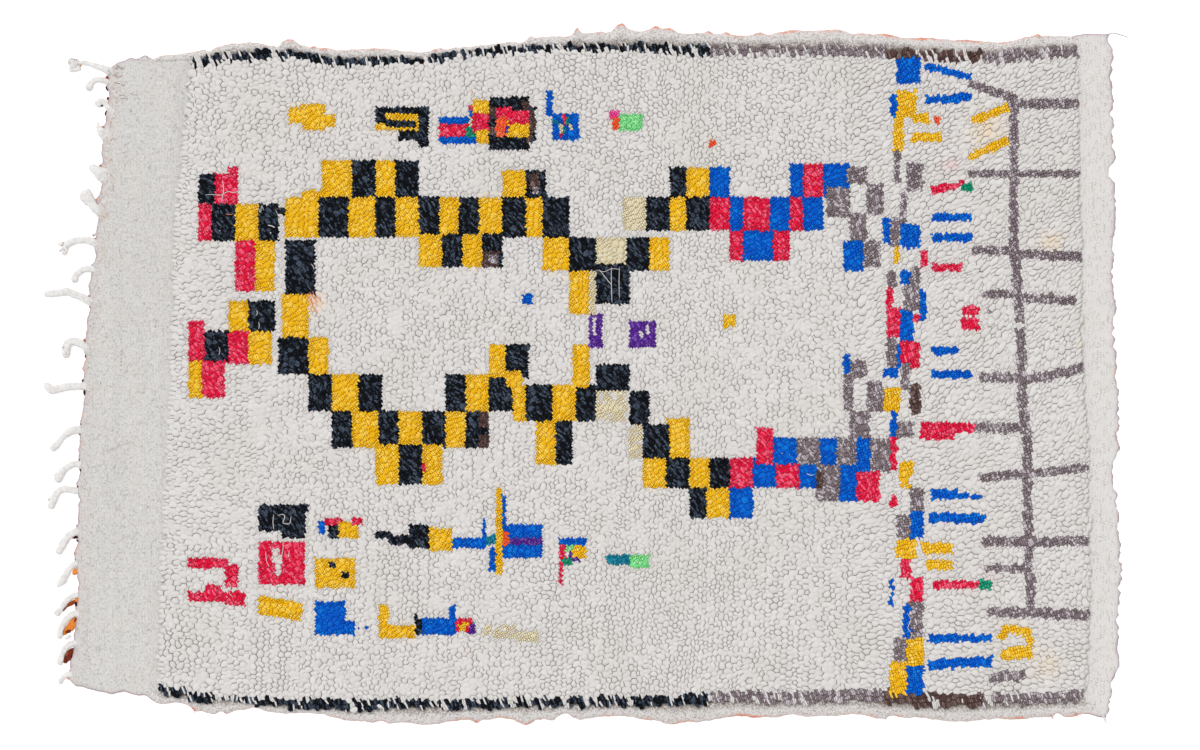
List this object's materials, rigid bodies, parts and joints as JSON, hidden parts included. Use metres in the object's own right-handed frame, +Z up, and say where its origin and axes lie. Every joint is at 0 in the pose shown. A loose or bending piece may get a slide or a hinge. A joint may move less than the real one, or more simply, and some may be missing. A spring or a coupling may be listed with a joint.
{
  "type": "moroccan rug",
  "caption": "Hand-knotted wool rug lying flat: a field of thick pile with traditional motifs between two flat-woven ends, and a fringe of felted cords at one end.",
  "frame": {"origin": "on the floor under the middle of the rug with its fringe", "axes": "+Z up out of the pile; +X along the rug's length, away from the fringe; +Y across the rug, to its far long edge"},
  "size_m": [1.616, 1.0444, 0.0153],
  "materials": {
    "white_pile": "matte",
    "dyed_pile": "matte",
    "ground_cloth": "matte",
    "felted_cord": "matte"
  },
  "bodies": {
    "root": {"rug_body": "white_pile", "left_fringe": "felted_cord"}
  },
  "joints": []
}
